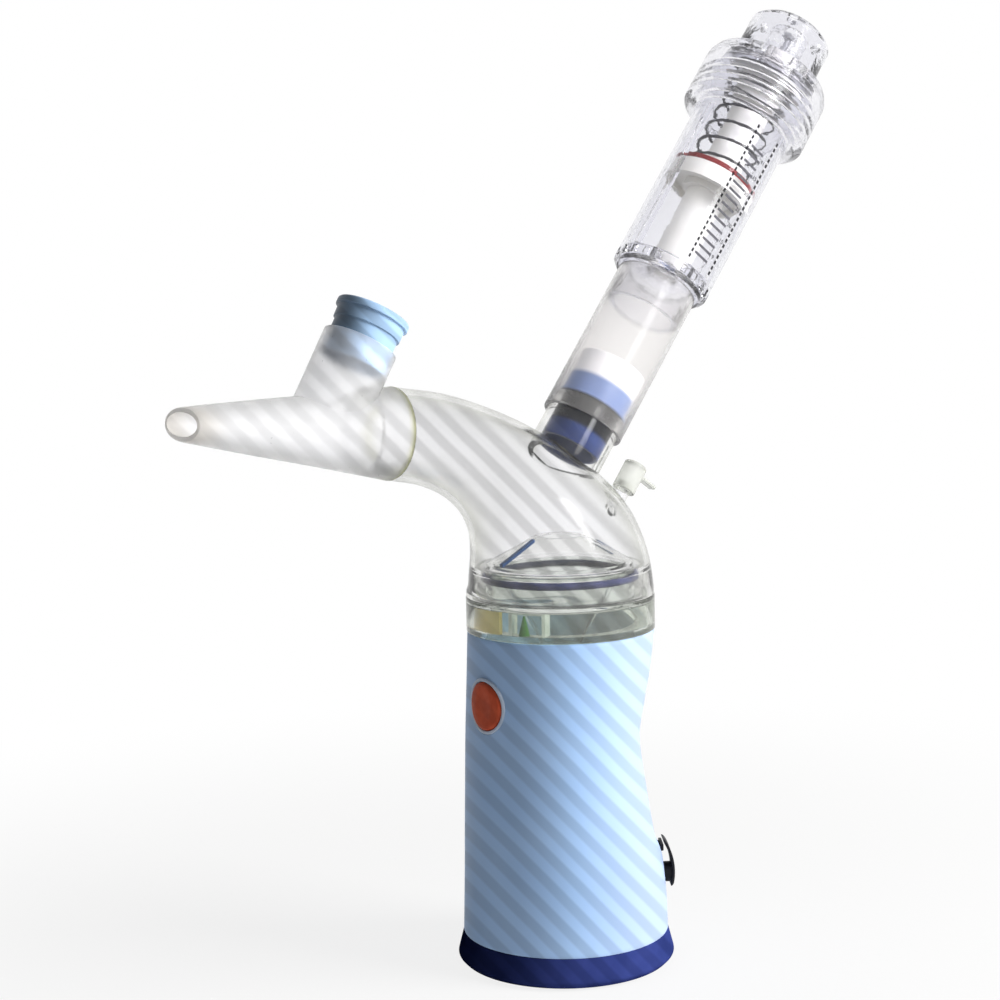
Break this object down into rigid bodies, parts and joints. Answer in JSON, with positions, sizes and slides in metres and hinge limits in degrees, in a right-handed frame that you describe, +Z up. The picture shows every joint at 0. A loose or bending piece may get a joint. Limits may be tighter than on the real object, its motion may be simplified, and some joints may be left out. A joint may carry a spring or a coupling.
{
  "type": "breathing exerciser",
  "caption": "Handheld nebuliser handle with a clear elbow head, flattened mouthpiece and a spring loaded inhalation trainer on its top port.",
  "frame": {"origin": "centre of the rubber foot pad's underside, on the axis of the handle", "axes": "+Z up along the handle, -Y toward the mouthpiece and the button, +Y toward the side the trainer leans to, +X to the right of someone who looks along +Y"},
  "size_m": [0.0776, 0.2727, 0.3388],
  "materials": {
    "sleeve_blue": "soft touch",
    "navy": "satin",
    "foot_rubber": "matte",
    "screw_steel": "satin",
    "frame_grey": "matte",
    "cell_wrap": "gloss",
    "nickel": "satin",
    "board_green": "satin",
    "chip_black": "matte",
    "can_metal": "satin",
    "header_white": "matte",
    "spring_steel": "satin",
    "orange": "satin",
    "bezel_pale": "satin",
    "black_plastic": "matte",
    "black_rubber": "matte",
    "clear": "clear gloss",
    "navy_rubber": "satin",
    "ceramic_disc": "satin",
    "seal_black": "matte",
    "lamp_clear": "clear",
    "cup_clear": "clear",
    "rib_navy": "satin",
    "amber": "translucent",
    "green": "satin",
    "stopper_clear": "translucent",
    "frosted": "frosted",
    "steel_blue": "satin",
    "silicone": "matte",
    "trainer_clear": "clear gloss",
    "core_white": "satin",
    "red": "satin"
  },
  "bodies": {
    "handle": {"base_cover": "navy", "foot_pad": "foot_rubber", "base_screws": "screw_steel", "body_shell": "sleeve_blue", "button_bezel": "bezel_pale", "cover_anchor": "black_rubber", "power_socket": "black_plastic", "chamber_body": "clear", "chamber_lid": "clear", "socket_pin": "nickel", "chassis": "frame_grey", "battery_cells": "cell_wrap", "cell_straps": "nickel", "circuit_board": "board_green", "board_screws": "screw_steel", "driver_chip": "chip_black", "coil": "chip_black", "capacitors": "can_metal", "pin_header": "header_white", "switch_board": "board_green", "tact_switch": "chip_black", "button_spring": "spring_steel", "seal_ring": "navy_rubber", "transducer": "ceramic_disc", "transducer_seal": "seal_black", "gauge_led": "lamp_clear", "amber_screen": "amber", "gauge_frame": "clear", "level_drop": "green"},
    "button": {"button": "orange"},
    "cover": {"socket_cover": "black_rubber"},
    "cup": {"medicine_cup": "cup_clear", "splash_guard": "cup_clear", "guard_ribs": "rib_navy"},
    "head": {"dome": "clear"},
    "stopper": {"small_port_cap": "stopper_clear"},
    "mouth": {"mouthpiece": "frosted"},
    "side_valve": {"side_valve_body": "steel_blue"},
    "side_disc": {"side_valve_disc": "silicone"},
    "inlet_valve": {"inlet_valve_body": "rib_navy"},
    "inlet_disc": {"inlet_valve_disc": "silicone"},
    "trainer": {"mouth_tube": "frosted", "trainer_housing": "trainer_clear", "foot_bearing": "trainer_clear", "valve_seat": "trainer_clear", "collar": "trainer_clear"},
    "screw": {"spindle": "core_white", "knob": "trainer_clear", "knob_screw": "screw_steel"},
    "nut": {"carrier": "core_white", "indicator_ring": "red", "trainer_spring": "spring_steel"},
    "poppet": {"poppet": "core_white", "poppet_seal": "silicone"}
  },
  "joints": [
    {"name": "button_press", "type": "slide", "parent": "handle", "child": "button", "axis": [0, 1, 0], "range_m": [0, 0.0012], "stiffness_N_per_m": 800, "springref_m": -0.001, "deforming": ["button_spring"]},
    {"name": "cover_hinge", "type": "hinge", "parent": "handle", "child": "cover", "pos_m": [0.02036, 0.02908, 0.0421], "axis": [0.8192, -0.5736, 0], "range_deg": [0, 110]},
    {"name": "head_lift", "type": "slide", "parent": "handle", "child": "head", "axis": [0, 0, 1], "range_m": [0, 0.06]},
    {"name": "cup_lift", "type": "slide", "parent": "handle", "child": "cup", "axis": [0, 0, 1], "range_m": [0, 0.006]},
    {"name": "stopper_pull", "type": "slide", "parent": "head", "child": "stopper", "axis": [0, 0.5948, 0.8039], "range_m": [0, 0.007]},
    {"name": "mouth_swivel", "type": "hinge", "parent": "head", "child": "mouth", "pos_m": [0, -0.0698, 0.1931], "axis": [0, -0.9945, 0.1045], "continuous": true},
    {"name": "side_valve_pull", "type": "slide", "parent": "mouth", "child": "side_valve", "axis": [0, 0.5, 0.866], "range_m": [0, 0.012]},
    {"name": "side_disc_lift", "type": "slide", "parent": "side_valve", "child": "side_disc", "axis": [0, 0.5, 0.866], "range_m": [0, 0.0012], "stiffness_N_per_m": 10, "springref_m": -0.0008},
    {"name": "inlet_valve_pull", "type": "slide", "parent": "head", "child": "inlet_valve", "axis": [0, 0.5948, 0.8039], "range_m": [0, 0.01]},
    {"name": "inlet_disc_drop", "type": "slide", "parent": "inlet_valve", "child": "inlet_disc", "axis": [0, -0.5948, -0.8039], "range_m": [0, 0.0012], "stiffness_N_per_m": 10, "springref_m": -0.0008},
    {"name": "trainer_swivel", "type": "hinge", "parent": "inlet_valve", "child": "trainer", "pos_m": [0, 0.01457, 0.19582], "axis": [0, 0.5948, 0.8039], "continuous": true},
    {"name": "knob_turn", "type": "hinge", "parent": "trainer", "child": "screw", "pos_m": [0, 0.10022, 0.31158], "axis": [0, 0.5948, 0.8039], "range_deg": [-1397, 587]},
    {"name": "nut_travel", "type": "slide", "parent": "trainer", "child": "nut", "axis": [0, 0.5948, 0.8039], "range_m": [-0.031, 0.013], "deforming": ["trainer_spring"]},
    {"name": "poppet_open", "type": "slide", "parent": "trainer", "child": "poppet", "axis": [0, -0.5948, -0.8039], "range_m": [0, 0.004], "stiffness_N_per_m": 45, "springref_m": -0.02, "deforming": ["trainer_spring"]}
  ],
  "couplings": [
    {"joint": "knob_turn", "follows": "nut_travel", "rad_per_m": 785.4}
  ]
}
